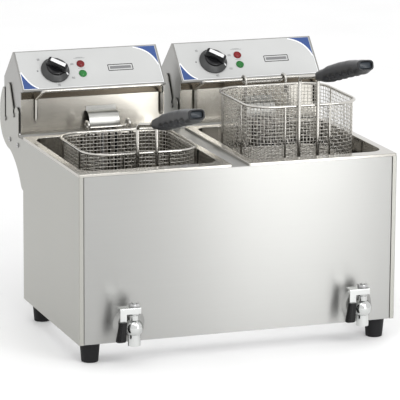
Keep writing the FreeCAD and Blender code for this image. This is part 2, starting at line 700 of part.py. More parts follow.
def heating_element(sign):
    """Two tubular loops that leave the head, drop behind the basket and lie under it."""
    xs = element_leg_x(sign)
    mid = head_middle(sign)
    loops = []
    for (xa, xb), wide, near, rear in (((xs[0], xs[3]), 88.0, 58.0, 266.0),
                                       ((xs[1], xs[2]), 48.0, 80.0, 244.0)):
        half = [(HEAD_FRONT + 12, ELEMENT_OUT), (ELEMENT_REAR, ELEMENT_OUT), (ELEMENT_REAR, ELEMENT_Z)]
        left = [(xa, *at(*p)) for p in half] + [(xa, *at(rear, ELEMENT_Z))]
        right = [(xb, *at(*p)) for p in half] + [(xb, *at(rear, ELEMENT_Z))]
        far = [(mid - wide, *at(rear, ELEMENT_Z)), (mid - wide, *at(near, ELEMENT_Z)),
               (mid + wide, *at(near, ELEMENT_Z)), (mid + wide, *at(rear, ELEMENT_Z))]
        loops.append(rod(left + far + right[::-1], ELEMENT_R, 9.0))
    y0, z0 = at(150, ELEMENT_Z - ELEMENT_R - 1.5)
    y1, z1 = at(162, ELEMENT_Z - ELEMENT_R + 0.5)
    bar = box(mid - 92, mid + 92, y0, y1, z0, z1)
    return fuse(loops + [bar])


def probe(sign, index, inner):
    """Capillary from a thermostat out of the head and down to its bulb in the oil."""
    x = probe_x(sign)[index]
    route = inner + [(x, *at(HEAD_FRONT + 14, ELEMENT_OUT)), (x, *at(ELEMENT_REAR, ELEMENT_OUT)),
                     (x, *at(ELEMENT_REAR, 250))]
    tube = rod(route, TUBE_R, 5.0)
    y, _ = at(ELEMENT_REAR, 0)
    bulb = cyl(BULB_R, (x, y, BASE + 262), (x, y, BASE + 188))
    return tube, bulb


COVER_HALF = 27.0


def element_cover(sign):
    """Bent shield over the place where the element leaves the head."""
    mid = head_left_x(sign) + ENTRY_X
    x0, x1 = mid - COVER_HALF, mid + COVER_HALF
    r = 21.5
    yc, zc = at(HEAD_FRONT - 1.0, 298.0)

    def quarter(rad, deep):
        a, m, b = (V(x0, yc - rad * math.sin(math.radians(t)), zc + rad * math.cos(math.radians(t)))
                   for t in (0, 45, 90))
        edges = [Part.Arc(a, m, b).toShape(), Part.LineSegment(b, V(x0, b.y, zc - deep)).toShape(),
                 Part.LineSegment(V(x0, b.y, zc - deep), V(x0, yc, zc - deep)).toShape(),
                 Part.LineSegment(V(x0, yc, zc - deep), a).toShape()]
        return Part.Face(Part.Wire(edges)).extrude(V(x1 - x0, 0, 0))

    shield = quarter(r, 4.8).cut(quarter(r - THIN, 8.0))
    end = quarter(r, 4.8).common(box(x1 - THIN, x1, yc - 60, yc + 1, zc - 60, zc + 60))
    flap = box(x0, x1, yc, yc + 1.0, zc + r - THIN, zc + r + 7)
    return fuse([shield, end, flap])


GLAND_X, RESET_X, GLAND_Z = 70.0, -40.0, 318.0


def cable_gland(sign):
    """Screwed cable entry in the head's back."""
    x = head_middle(sign) + GLAND_X
    y, z = at(HEAD_BACK, GLAND_Z)
    parts = [cyl(8.0, (x, y - 10, z), (x, y + 0.5, z)), cyl(11.5, (x, y, z), (x, y + 5, z)),
             cone(10.5, 7.5, (x, y + 5, z), (x, y + 20, z)),
             cyl(11.0, (x, y - THIN - 4, z), (x, y - THIN, z))]
    return fuse(parts).cut(cyl(4.2, (x, y - 20, z), (x, y + 20, z)))


def reset_switch(sign):
    """Safety thermostat behind the back wall, its neck through the wall."""
    x = head_middle(sign) + RESET_X
    y, z = at(HEAD_BACK - THIN, GLAND_Z)
    body = fuse([box(x - 16, x + 16, y - 26, y - 0.3, z - 14, z + 14),
                 cyl(5.0, (x, y - 1, z), (x, y + THIN + 3, z)),
                 cyl(7.5, (x, y + THIN, z), (x, y + THIN + 1.8, z))])
    body = body.cut(cyl(3.05, (x, y - 10, z), (x, y + 12, z)))
    inner = [(x, *at(HEAD_BACK - 24, GLAND_Z)), (x, *at(400, GLAND_Z)),
             (probe_x(sign)[1], *at(380, ELEMENT_OUT + 10))]
    return fuse([body, *probe(sign, 1, inner)])


def reset_button(sign):
    x = head_middle(sign) + RESET_X
    y, z = at(HEAD_BACK, GLAND_Z)
    button = cyl(3.0, (x, y - 6.0, z), (x, y + 6.0, z))
    return button.makeFillet(0.8, [e for e in button.Edges if e.BoundBox.YMin > y + 5.9])


# ---- baskets ------------------------------------------------------------------------------
HOOK_X = 36.7
HOOK_R = 2.3
FLOOR = -106.0                                 # underside of the mesh below the rim
MESH = 1.2
LEG_Y = BASKET_D / 2 + RIM_R + HOOK_R - 0.5
HOOK_DEEP = 2 * (RAIL_Y - BASKET_Y - LEG_Y)    # front leg to back leg, the rail half-way
HANDLE_X = 16.7
HANDLE_Y = -(BASKET_D / 2 + RIM_R + THICK_R - 0.5)


def basket_frame():
    """Rim, floor ring, uprights, hooks and handle wires, about the rim's centre."""
    parts = [rounded_ring(BASKET_W, BASKET_D, BASKET_R, 0, RIM_R)]
    long_z = FLOOR - 0.3 - WIRE_R
    cross_z = long_z - 2 * WIRE_R + 0.6
    half_d, half_w = BASKET_D / 2 + 0.4, BASKET_W / 2 + 0.4
    for x in (-40.0, 40.0):
        parts.append(rod([(x, -half_d, 0), (x, -half_d, long_z), (x, half_d, long_z), (x, half_d, 0)],
                         WIRE_R, 14.0))
    for y in (-46.0, 46.0):
        parts.append(rod([(-half_w, y, 0), (-half_w, y, cross_z), (half_w, y, cross_z), (half_w, y, 0)],
                         WIRE_R, 14.0))
    arch = RAIL_Z - HUNG_Z + RAIL_R + 0.3 + HOOK_R
    run = 2.6
    back = LEG_Y + HOOK_DEEP
    parts.append(rod([(-HOOK_X, LEG_Y, -16.0), (-HOOK_X, LEG_Y, arch), (-HOOK_X, back, arch),
                      (-HOOK_X, back, run), (HOOK_X, back, run), (HOOK_X, back, arch),
                      (HOOK_X, LEG_Y, arch), (HOOK_X, LEG_Y, -16.0)], HOOK_R, 5.0))
    root_y, root_z = -BASKET_D / 2 - GRIP_ROOT[0], GRIP_ROOT[1]
    lean = math.tan(math.radians(GRIP_SLOPE))
    for s in (-1, 1):
        parts.append(rod([(s * HANDLE_X, HANDLE_Y + 30, FLOOR - 3.9), (s * HANDLE_X, HANDLE_Y, FLOOR - 3.9),
                          (s * HANDLE_X, HANDLE_Y, GRIP_ROOT[1] - 12.0), (s * 9.0, root_y + 12, root_z - 3),
                          (s * 9.0, root_y - 45, root_z - 3 + 57 * lean)], THICK_R, 12.0))
    return fuse(parts)


def basket_mesh():
    """Thin open box with rounded corners, standing for the woven wire."""
    solids = []
    for inset, floor, top in ((RIM_R + 0.3, FLOOR, -1.5), (RIM_R + 0.3 + MESH, FLOOR + MESH, 5.0)):
        plan = rounded_rect(BASKET_W - 2 * inset, BASKET_D - 2 * inset, BASKET_R - inset, floor)
        solid = pad(plan, top - floor)
        low = [e for e in solid.Edges if e.BoundBox.ZMax < floor + 0.01]
        solids.append(solid.makeFillet(16.0 - inset, low))
    return solids[0].cut(solids[1])


def basket_grip():
    """Moulded grip: humped back, finger scallops below and a recessed end."""
    tops = ((0, 9.0), (22, 10.5), (55, 13.8), (95, 14.6), (130, 14.0), (160, 11.5), (GRIP_L, 9.0))
    length = GRIP_L / math.cos(math.radians(GRIP_SLOPE))
    k = length / GRIP_L
    top = Part.BSplineCurve()
    top.interpolate([V(0, -t * k, h) for t, h in tops])
    edges = [top.toShape()]
    a, b = V(0, -length, 9.0), V(0, -length, -8.5)
    edges.append(Part.LineSegment(a, b).toShape())
    scallops = 5
    start, stop = -length + 24, -34.0
    step = (stop - start) / scallops
    edges.append(Part.Arc(b, V(0, (b.y + start) / 2, -11.5), V(0, start, -13.0)).toShape())
    for i in range(scallops):
        y0, y1 = start + i * step, start + (i + 1) * step
        edges.append(Part.Arc(V(0, y0, -13.0), V(0, (y0 + y1) / 2, -10.6), V(0, y1, -13.0)).toShape())
    edges.append(Part.Arc(V(0, stop, -13.0), V(0, stop / 2, -12.0), V(0, 0, -9.5)).toShape())
    edges.append(Part.LineSegment(V(0, 0, -9.5), V(0, 0, 9.0)).toShape())
    face = Part.Face(Part.Wire(edges))
    grip = face.extrude(V(GRIP_W, 0, 0))
    grip.translate(V(-GRIP_W / 2, 0, 0))
    ends = [e for e in grip.Edges if e.BoundBox.XLength < 0.01 and e.BoundBox.YLength > 100]
    grip = grip.makeFillet(6.0, ends)
    recess = Part.makeBox(21, 8, 12, V(-10.5, -length - 1, -5.8))
    grip = grip.cut(recess)
    grip.rotate(V(0, 0, 0), V(1, 0, 0), -GRIP_SLOPE)
    grip.translate(V(0, -BASKET_D / 2 - GRIP_ROOT[0], GRIP_ROOT[1]))
    root_y, root_z = -BASKET_D / 2 - GRIP_ROOT[0], GRIP_ROOT[1]
    lean = math.tan(math.radians(GRIP_SLOPE))
    for s in (-1, 1):
        bore = rod([(s * HANDLE_X, HANDLE_Y, GRIP_ROOT[1] - 12.0), (s * 9.0, root_y + 12, root_z - 3),
                    (s * 9.0, root_y - 46, root_z - 3 + 58 * lean)], THICK_R + 0.02, 12.0)
        grip = grip.cut(bore)
    return grip


def place_basket(shape, index):
    y, z = at(BASKET_Y, (LOWERED_Z, HUNG_Z)[index])
    return moved(shape.copy(), BASKET_X[index], y, z)


# ---- write every piece --------------------------------------------------------------------
def build():
    os.makedirs("parts", exist_ok=True)
    save(side_panel(-1), "side_panel_left")
    save(side_panel(1), "side_panel_right")
    save(front_panel(), "front_panel")
    save(rear_panel(), "rear_panel")
    save(base_plate(), "base_plate")
    save(rubber_feet(), "rubber_feet")
    save(top_frame(), "top_frame")
    save(casing_screws(), "casing_screws")
    frame, mesh, grip = basket_frame(), basket_mesh(), basket_grip()
    for index, (side, sign) in enumerate(SIDES):
        save(tank(index), "tank_" + side)
        save(drain_rosette(index), "drain_rosette_" + side)
        save(valve_body(index), "valve_body_" + side)
        save(valve_stem(index), "valve_stem_" + side)
        save(tap_lever(index), "tap_lever_" + side)
        save(tap_grip(index), "tap_grip_" + side)
        save(tap_nut(index), "tap_nut_" + side)
        for place, (x_face, inward) in zip(("outer", "inner"), bracket_faces(sign)):
            save(bracket(x_face, inward), "bracket_" + place + "_" + side)
        save(bracket_tie(sign), "bracket_tie_" + side)
        save(head_housing(sign), "head_housing_" + side)
        save(head_front_plate(sign), "head_front_plate_" + side)
        save(control_overlay(sign), "control_overlay_" + side)
        save(knob(sign), "knob_" + side)
        save(lamp(sign, RED_S), "lamp_red_" + side)
        save(lamp(sign, GREEN_S), "lamp_green_" + side)
        save(thermostat(sign), "thermostat_" + side)
        save(basket_rail(sign), "basket_rail_" + side)
        save(heating_element(sign), "heating_element_" + side)
        save(element_cover(sign), "element_cover_" + side)
        save(reset_switch(sign), "reset_switch_" + side)
        save(reset_button(sign), "reset_button_" + side)
        save(cable_gland(sign), "cable_gland_" + side)
        save(place_basket(frame, index), "basket_frame_" + side)
        save(place_basket(mesh, index), "basket_mesh_" + side)
        save(place_basket(grip, index), "basket_grip_" + side)


build()
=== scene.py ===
import math

import bpy
from mathutils import Matrix, Vector


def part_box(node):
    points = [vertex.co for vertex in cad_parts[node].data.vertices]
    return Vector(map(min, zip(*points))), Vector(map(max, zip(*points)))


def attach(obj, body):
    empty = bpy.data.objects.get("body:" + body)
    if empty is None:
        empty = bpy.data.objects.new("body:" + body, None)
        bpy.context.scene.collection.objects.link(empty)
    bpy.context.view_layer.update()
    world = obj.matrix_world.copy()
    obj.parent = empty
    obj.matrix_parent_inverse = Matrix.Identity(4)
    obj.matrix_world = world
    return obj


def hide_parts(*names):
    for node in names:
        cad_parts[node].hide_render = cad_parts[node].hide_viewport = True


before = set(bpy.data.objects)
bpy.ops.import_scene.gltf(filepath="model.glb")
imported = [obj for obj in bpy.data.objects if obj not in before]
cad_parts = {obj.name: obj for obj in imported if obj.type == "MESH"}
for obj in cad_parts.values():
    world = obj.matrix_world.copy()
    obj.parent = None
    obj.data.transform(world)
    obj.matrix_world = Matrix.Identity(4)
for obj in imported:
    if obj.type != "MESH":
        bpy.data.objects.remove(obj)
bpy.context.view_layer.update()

MM = 0.001
SIDES = ("left", "right")

# Painted shade on the set-back strip above each head's front plate, in metres
LIP_DROP = 0.0022                                  # from the print's lower edge to the panel's lip
LIP_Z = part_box("control_overlay_left")[0].z - LIP_DROP
RECESS_HEIGHT = 0.0162
RECESS_BLUR = 0.001
# colour of the painted shade on that strip
RECESS_SHADE_TONE = (0.10, 0.085, 0.065, 1)


# ---- materials ----------------------------------------------------------------------------
def new_material(name, base, metallic=0.0, rough=0.5, **sockets):
    mat = bpy.data.materials.new(name)
    mat.use_nodes = True
    tree = mat.node_tree
    shader = tree.nodes["Principled BSDF"]
    shader.inputs["Base Color"].default_value = (*base, 1)
    shader.inputs["Metallic"].default_value = metallic
    shader.inputs["Roughness"].default_value = rough
    for key, value in sockets.items():
        shader.inputs[key.replace("_", " ")].default_value = value
    return mat, tree, shader


def noise(tree, scale, detail):
    """Noise with its own scale on each axis."""
    where = tree.nodes.new("ShaderNodeTexCoord")
    mapping = tree.nodes.new("ShaderNodeMapping")
    mapping.inputs["Scale"].default_value = scale
    tree.links.new(where.outputs["Object"], mapping.inputs["Vector"])
    node = tree.nodes.new("ShaderNodeTexNoise")
    node.inputs["Scale"].default_value = 1.0
    node.inputs["Detail"].default_value = detail
    tree.links.new(mapping.outputs["Vector"], node.inputs["Vector"])
    return node.outputs["Fac"]


def spread(tree, value, low, high, start=0.3, stop=0.7):
    """Maps start..stop of a value to low..high."""
    node = tree.nodes.new("ShaderNodeMapRange")
    node.inputs["From Min"].default_value = start
    node.inputs["From Max"].default_value = stop
    node.inputs["To Min"].default_value = low
    node.inputs["To Max"].default_value = high
    tree.links.new(value, node.inputs["Value"])
    return node.outputs["Result"]


def average(tree, first, second):
    node = tree.nodes.new("ShaderNodeMix")
    node.inputs[0].default_value = 0.5
    tree.links.new(first, node.inputs[2])
    tree.links.new(second, node.inputs[3])
    return node.outputs[0]


def mixed(tree, factor, first, second, blend="MIX"):
    """Mix of two colours, where each input is a socket or a plain value."""
    node = tree.nodes.new("ShaderNodeMix")
    node.data_type = "RGBA"
    node.blend_type = blend
    for index, value in ((0, factor), (6, first), (7, second)):
        if isinstance(value, bpy.types.NodeSocket):
            tree.links.new(value, node.inputs[index])
        else:
            node.inputs[index].default_value = value
    return node.outputs[2]


def varied(tree, base, vary, value):
    """The base colour, a little darker and lighter with the value."""
    dark = tuple(c * (1 - vary) for c in base)
    light = tuple(min(1, c * (1 + vary)) for c in base)
    return mixed(tree, spread(tree, value, 0, 1), (*dark, 1), (*light, 1))


def bump(tree, shader, value, strength, distance):
    node = tree.nodes.new("ShaderNodeBump")
    node.inputs["Strength"].default_value = strength
    node.inputs["Distance"].default_value = distance
    tree.links.new(value, node.inputs["Height"])
    tree.links.new(node.outputs["Normal"], shader.inputs["Normal"])


def crease_shaded(tree, colour, reach, darkest):
    """Painted shade: darkens a colour in creases and recesses by ambient occlusion."""
    node = tree.nodes.new("ShaderNodeAmbientOcclusion")
    node.samples = 6
    node.inputs["Distance"].default_value = reach
    level = spread(tree, node.outputs["AO"], darkest, 1.0, 0.15, 0.85)
    return mixed(tree, 1.0, colour, level, "MULTIPLY")


def painted_recess_shade(tree, colour):
    """Painted shade: a warm dark tone on the set-back strip between a front plate's top and the
    panel's lip, standing in for the shade and dark reflections under the lip.
    """
    where = tree.nodes.new("ShaderNodeTexCoord")
    spot = tree.nodes.new("ShaderNodeSeparateXYZ")
    tree.links.new(where.outputs["Object"], spot.inputs[0])
    foot = LIP_Z - RECESS_HEIGHT
    band = spread(tree, spot.outputs["Z"], 0.0, 1.0, foot, foot + RECESS_BLUR)
    return mixed(tree, band, colour, RECESS_SHADE_TONE)


def brushed(name, grain, base, rough, aniso, depth, crease_shade=0.45, recess_shade=False):
    """Brushed sheet: grain is the noise scale on each axis, low along the brush lines."""
    mat, tree, shader = new_material(name, base, 1.0, rough, Anisotropic=aniso,
                                     Anisotropic_Rotation=0.25)
    lines = noise(tree, grain, 1.0)
    cloud = noise(tree, (3, 3, 3), 2.0)
    colour = varied(tree, base, 0.03, average(tree, lines, cloud))
    # painted shade in creases and recesses
    if crease_shade < 1:
        colour = crease_shaded(tree, colour, 0.03, crease_shade)
    # painted shade and dark reflection on the strip under the panel's lip
    if recess_shade:
        colour = painted_recess_shade(tree, colour)
    tree.links.new(colour, shader.inputs["Base Color"])
    tree.links.new(spread(tree, lines, rough * 0.93, rough * 1.08), shader.inputs["Roughness"])
    bump(tree, shader, lines, depth, 0.00005)
    tangent = tree.nodes.new("ShaderNodeTangent")
    tangent.direction_type = "RADIAL"
    tangent.axis = "Z"
    tree.links.new(tangent.outputs["Tangent"], shader.inputs["Tangent"])
    return mat


def grained(name, base, rough, size=900, depth=0.25, metallic=0.0, vary=0.12, crease_shade=None,
            **sockets):
    """Evenly grained surface, for moulded plastic, rubber, cast or plated metal."""
    mat, tree, shader = new_material(name, base, metallic, rough, **sockets)
    fine = noise(tree, (size,) * 3, 2.0)
    cloud = noise(tree, (14, 14, 14), 3.0)
    colour = varied(tree, base, vary, cloud)
    # painted shade in creases and recesses
    if crease_shade is not None:
        colour = crease_shaded(tree, colour, 0.02, crease_shade)
    tree.links.new(colour, shader.inputs["Base Color"])
    tree.links.new(spread(tree, cloud, rough * 0.85, rough * 1.15), shader.inputs["Roughness"])
    bump(tree, shader, fine, depth, 0.0001)
    return mat


ACROSS = (5, 2600, 2600)                           # brush lines along X
ALONG = (2600, 5, 2600)                            # brush lines along Y
SMOOTH = (4, 1800, 1800)

STEEL = brushed("casing_steel", ACROSS, (0.355, 0.355, 0.345), 0.34, 0.85, 0.04)
HEAD_STEEL = brushed("head_steel", ACROSS, (0.325, 0.322, 0.31), 0.30, 0.7, 0.04)
STEEL_SIDE = brushed("side_steel", ALONG, (0.385, 0.383, 0.355), 0.34, 0.6, 0.04)
POLISHED = brushed("polished_steel", SMOOTH, (0.50, 0.50, 0.48), 0.34, 0.5, 0.02, 0.25)
PLATE = brushed("front_plate_steel", SMOOTH, (0.635, 0.61, 0.555), 0.22, 0.6, 0.02, 0.25,
                recess_shade=True)
TANK = brushed("tank_steel", (900, 900, 90), (0.49, 0.475, 0.44), 0.15, 0.25, 0.01, 1.0)

WIRE = grained("bright_wire", (0.56, 0.545, 0.51), 0.20, 500, 0.10, 1.0, 0.06, crease_shade=0.2)
MESH = grained("mesh_wire", (0.58, 0.56, 0.52), 0.30, 700, 0.10, 1.0, 0.08)
CHROME = grained("valve_chrome", (0.60, 0.61, 0.60), 0.14, 160, 0.25, 1.0, 0.14, crease_shade=0.12)
ZINC = grained("zinc_plate", (0.50, 0.50, 0.50), 0.30, 350, 0.15, 1.0, 0.12, crease_shade=0.3)
ELEMENT = grained("element_sheath", (0.24, 0.22, 0.20), 0.36, 300, 0.20, 1.0, 0.20)

BLACK = grained("black_moulding", (0.014, 0.015, 0.017), 0.36, 1500, 0.30, 0.0, 0.2,
                crease_shade=0.15, Specular_IOR_Level=0.35)
SLEEVE = grained("tap_sleeve", (0.006, 0.006, 0.006), 0.30, 900, 0.2, 0.0, 0.2,
                 Specular_IOR_Level=0.25)
KNOB = grained("knob_moulding", (0.030, 0.031, 0.031), 0.34, 1300, 0.22, 0.0, 0.2)
RUBBER = grained("foot_rubber", (0.010, 0.010, 0.011), 0.6, 1100, 0.45, 0.0, 0.25,
                 Specular_IOR_Level=0.2)
GREY = grained("grey_moulding", (0.20, 0.20, 0.20), 0.5, 900, 0.2)
GLOSS = grained("gloss_black", (0.008, 0.008, 0.009), 0.14, 800, 0.06, 0.0, 0.2,
                Specular_IOR_Level=0.3)
PLUG = grained("grip_plug", (0.035, 0.042, 0.05), 0.34, 900, 0.1, 0.0, 0.15,
               Specular_IOR_Level=0.3)
RED = grained("button_red", (0.35, 0.02, 0.015), 0.3, 900, 0.15)
SILVER = grained("knob_insert", (0.80, 0.80, 0.80), 0.28, 900, 0.08, 0.35, 0.03)

OVERLAY = grained("panel_print", (0.50, 0.505, 0.50), 0.40, 1200, 0.06, 0.0, 0.03,
                  Coat_Weight=0.3)
PRINT_BLUE = grained("print_blue", (0.016, 0.058, 0.215), 0.36, 1200, 0.06, 0.0, 0.12,
                     Coat_Weight=0.3)
PRINT_WHITE = grained("print_white", (0.86, 0.87, 0.88), 0.36, 1200, 0.06, 0.0, 0.02,
                      Coat_Weight=0.3)
PRINT_GREY = grained("print_grey", (0.18, 0.18, 0.185), 0.45, 1200, 0.06, 0.0, 0.05)
LENS_RED = grained("lens_red", (0.19, 0.010, 0.012), 0.16, 260, 0.10, 0.0, 0.35,
                   Specular_IOR_Level=0.35)
LENS_GREEN = grained("lens_green", (0.02, 0.17, 0.035), 0.16, 260, 0.10, 0.0, 0.35,
                     Specular_IOR_Level=0.35)

LOOKS = {                                          # by the start of the node's name
    "side_panel": STEEL_SIDE, "front_panel": STEEL, "rear_panel": STEEL, "base_plate": ZINC,
    "rubber_feet": RUBBER, "top_frame": STEEL, "casing_screws": ZINC, "bracket": STEEL_SIDE,
    "tank": TANK, "drain_rosette": STEEL, "valve_body": CHROME, "valve_stem": CHROME,
    "tap_lever": CHROME, "tap_grip": SLEEVE, "tap_nut": ZINC,
    "head_housing": HEAD_STEEL, "head_front_plate": PLATE, "control_overlay": OVERLAY,
    "lamp_red": LENS_RED, "lamp_green": LENS_GREEN, "knob": KNOB, "thermostat": GREY,
    "basket_rail": WIRE, "heating_element": ELEMENT, "element_cover": POLISHED,
    "reset_switch": BLACK, "reset_button": RED, "cable_gland": BLACK,
    "basket_frame": WIRE, "basket_mesh": MESH, "basket_grip": BLACK,
}
for node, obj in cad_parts.items():
    look = next(mat for key, mat in LOOKS.items() if node.startswith(key))
    if not obj.material_slots:
        obj.data.materials.append(look)
    for place in obj.material_slots:
        place.material = look


# ---- mesh helpers, in millimetres ---------------------------------------------------------
def build(name, verts, faces, mat, body, slot, smooth=True):
    data = bpy.data.meshes.new(name)
    data.from_pydata([tuple(c * MM for c in v) for v in verts], [], faces)
    data.validate()
    data.update()
    if smooth:
        data.polygons.foreach_set("use_smooth", [True] * len(data.polygons))
    data.materials.append(mat)
    obj = bpy.data.objects.new(name, data)
    bpy.context.scene.collection.objects.link(obj)
    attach(obj, body)
    return obj


def tube(verts, faces, points, radius, sides, closed=False):
    """Adds a round tube along the points, capped when it is open."""
    pts = [Vector(p) for p in points]
    count = len(pts)
    first = len(verts)
    normal = None
    for i, p in enumerate(pts):
        if closed:
            along = pts[(i + 1) % count] - pts[i - 1]
        else:
            along = pts[min(i + 1, count - 1)] - pts[max(i - 1, 0)]
        along.normalize()
        if normal is None:
            normal = along.orthogonal().normalized()
        else:
            normal = (normal - along * normal.dot(along)).normalized()
        other = along.cross(normal)
        for k in range(sides):
            t = 2 * math.pi * k / sides
            verts.append(tuple(p + (normal * math.cos(t) + other * math.sin(t)) * radius))
    for i in range(count if closed else count - 1):
        a, b = first + i * sides, first + ((i + 1) % count) * sides
        for k in range(sides):
            m = (k + 1) % sides
            faces.append((a + k, a + m, b + m, b + k))
    if not closed:
        faces.append(tuple(first + k for k in reversed(range(sides))))
        faces.append(tuple(first + (count - 1) * sides + k for k in range(sides)))


def loft(rings):
    """Closed skin over rings of equally many points, capped at both ends."""
    around = len(rings[0])
    verts = [point for ring in rings for point in ring]
    faces = []
    for i in range(len(rings) - 1):
        a, b = i * around, (i + 1) * around
        faces += [(a + k, a + (k + 1) % around, b + (k + 1) % around, b + k)
                  for k in range(around)]
    faces.append(tuple(reversed(range(around))))
    faces.append(tuple((len(rings) - 1) * around + k for k in range(around)))
    return verts, faces


def lathe(profile, place, turns=64):
    """Closed turned shape from (radius, height) points, the first and last on the axis."""
    verts, faces = [], []
    for r, height in profile:
        if r == 0:
            verts.append(place(0, 0, height))
            continue
        for k in range(turns):
            t = 2 * math.pi * k / turns
            verts.append(place(r * math.cos(t), r * math.sin(t), height))
    start = 1
    for _ in range(len(profile) - 3):
        for k in range(turns):
            m = (k + 1) % turns
            faces.append((start + k, start + m, start + turns + m, start + turns + k))
        start += turns
    for k in range(turns):
        m = (k + 1) % turns
        faces.append((0, 1 + m, 1 + k))
        faces.append((start + k, start + m, len(verts) - 1))
    return verts, faces


def rounded(w, d, r, steps=6):
    """Rounded rectangle about the origin."""
    pts = []
    for i, (sx, sy) in enumerate(((1, 1), (-1, 1), (-1, -1), (1, -1))):
        for k in range(steps + 1):
            t = math.radians(90 * i + 90 * k / steps)
            pts.append((sx * (w / 2 - r) + r * math.cos(t), sy * (d / 2 - r) + r * math.sin(t)))
    return pts


def stack(levels, place):
    """Closed loft through (width, depth, corner, height) rounded rectangles."""
    return loft([[place(x, y, h) for x, y in rounded(w, d, r)] for w, d, r, h in levels])


def oval(t, power):
    """Point of a squared-off unit oval."""
    c, s = math.cos(t), math.sin(t)
    return math.copysign(abs(c) ** power, c), math.copysign(abs(s) ** power, s)


# ---- woven baskets ------------------------------------------------------------------------
PITCH = 6.1
MESH_R = 0.55
WAVE = MESH_R * 0.9                                # a wire's swing over and under the others
WIRE_SIDES = 5
SKIN = 0.7                                         # from the solid basket's face to the weave
CORNER = 40.0                                      # in plan
BEND = 13.0                                        # from wall to floor
BEND_HOOPS = (10.0, BEND)                          # inward from the wall
QUARTER = math.pi * CORNER / 2
CORNER_WIRES = round(QUARTER / PITCH)
EXTRA_WIRES = 3                                    # floor wires beyond each straight stretch


def plan_point(half_w, half_d, s):
    """Point and outward direction at distance s round the plan, from the middle of +X."""
    mid_w, mid_d = half_w - CORNER, half_d - CORNER
    s %= 4 * (mid_w + mid_d) + 4 * QUARTER
    s += mid_d
    runs = ((2 * mid_d, (half_w, -mid_d), (0, 1)), (2 * mid_w, (mid_w, half_d), (-1, 0)),
            (2 * mid_d, (-half_w, mid_d), (0, -1)), (2 * mid_w, (-mid_w, -half_d), (1, 0)),
            (2 * mid_d, (half_w, -mid_d), (0, 1)))
    centres = ((mid_w, mid_d), (-mid_w, mid_d), (-mid_w, -mid_d), (mid_w, -mid_d))
    for i, (length, start, way) in enumerate(runs):
        if s <= length or i == len(centres):
            return (start[0] + way[0] * s, start[1] + way[1] * s), (way[1], -way[0])
        s -= length
        if s <= QUARTER:
            t = math.radians(90 * i) + s / CORNER
            out = (math.cos(t), math.sin(t))
            return (centres[i][0] + CORNER * out[0], centres[i][1] + CORNER * out[1]), out
        s -= QUARTER


def floor_wires(half_w, half_d, across, along):
    """Two crossing sets of wires within the floor's rounded outline, as (x, y, height) lines."""
    r = CORNER - BEND
    lines = []
    for set_a, set_b, half_a, half_b, flip in ((across, along, half_d, half_w, 0),
                                               (along, across, half_w, half_d, 1)):
        for i, a in enumerate(set_a):
            if abs(a) > half_b - 0.3:
                continue
            over = max(0.0, abs(a) - (half_b - r))
            reach = half_a - (r - math.sqrt(max(0.0, r * r - over * over)))
            inner = [(k, b) for k, b in enumerate(set_b) if abs(b) < reach - 1.0]
            pts = [(-reach, 0.0)]
            for (k, b), (_, after) in zip(inner, inner[1:] + [(None, None)]):
                pts.append((b, WAVE if (i + k + flip) % 2 else -WAVE))
                if after is not None:
                    pts.append(((b + after) / 2, 0.0))
            pts.append((reach, 0.0))
            lines.append([(b, a, h) if flip else (a, b, h) for b, h in pts])
    return lines


def woven_basket(side):
    low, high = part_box("basket_mesh_" + side)
    cx, cy = (low.x + high.x) / 2 / MM, (low.y + high.y) / 2 / MM
    half_w, half_d = (high.x - low.x) / 2 / MM - SKIN, (high.y - low.y) / 2 / MM - SKIN
    floor, rim = low.z / MM + SKIN, high.z / MM
    straight_x, straight_y = 2 * (half_w - CORNER), 2 * (half_d - CORNER)
    nx, ny = round(straight_x / PITCH), round(straight_y / PITCH)
    rows = round((rim - floor - BEND) / PITCH)
    step = (rim - floor - BEND) / rows

    def wall(s, z, out):
        (px, py), (ox, oy) = plan_point(half_w, half_d, s)
        return cx + px + ox * out, cy + py + oy * out, z

    def over_under(odd):
        return WAVE if odd % 2 else -WAVE

    stations = []                                  # where the upright wires stand
    s = -straight_y / 2
    for length, number in ((straight_y, ny), (QUARTER, CORNER_WIRES),
                           (straight_x, nx), (QUARTER, CORNER_WIRES)) * 2:
        stations += [s + length * k / number for k in range(number)]
        s += length
    total = 2 * (straight_x + straight_y) + 4 * QUARTER

    verts, faces = [], []
    for j, s in enumerate(stations):
        pts = [wall(s, rim - step * k / 2, 0.0 if k % 2 else over_under(k // 2 + j))
               for k in range(2 * rows + 1)]
        for t in (math.radians(30), math.radians(60), math.radians(90)):
            pts.append(wall(s, floor + BEND * (1 - math.sin(t)), -BEND * (1 - math.cos(t))))
        tube(verts, faces, pts, MESH_R, WIRE_SIDES)
    for k in range(rows + 1):
        pts = []
        for j, (s, after) in enumerate(zip(stations, stations[1:] + [stations[0] + total])):
            pts.append(wall(s, rim - step * k, over_under(k + j + 1)))
            pts.append(wall((s + after) / 2, rim - step * k, 0.0))
        tube(verts, faces, pts, MESH_R, WIRE_SIDES, True)
    for inward in BEND_HOOPS:
        rise = BEND - math.sqrt(BEND * BEND - (BEND - inward) ** 2)
        pts = [wall(s, floor + rise, -inward) for s in stations]
        tube(verts, faces, pts, MESH_R, WIRE_SIDES, True)

    across = [straight_x * (k / nx - 0.5) for k in range(-EXTRA_WIRES, nx + EXTRA_WIRES + 1)]
    along = [straight_y * (k / ny - 0.5) for k in range(-EXTRA_WIRES, ny + EXTRA_WIRES + 1)]
    for line in floor_wires(half_w - BEND + 0.5, half_d - BEND + 0.5, across, along):
        tube(verts, faces, [(cx + x, cy + y, floor + h) for x, y, h in line], MESH_R, WIRE_SIDES)
    obj = build("woven_mesh_" + side, verts, faces, MESH, "basket_" + side, "mesh")
    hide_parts("basket_mesh_" + side)


for side in SIDES:
    woven_basket(side)


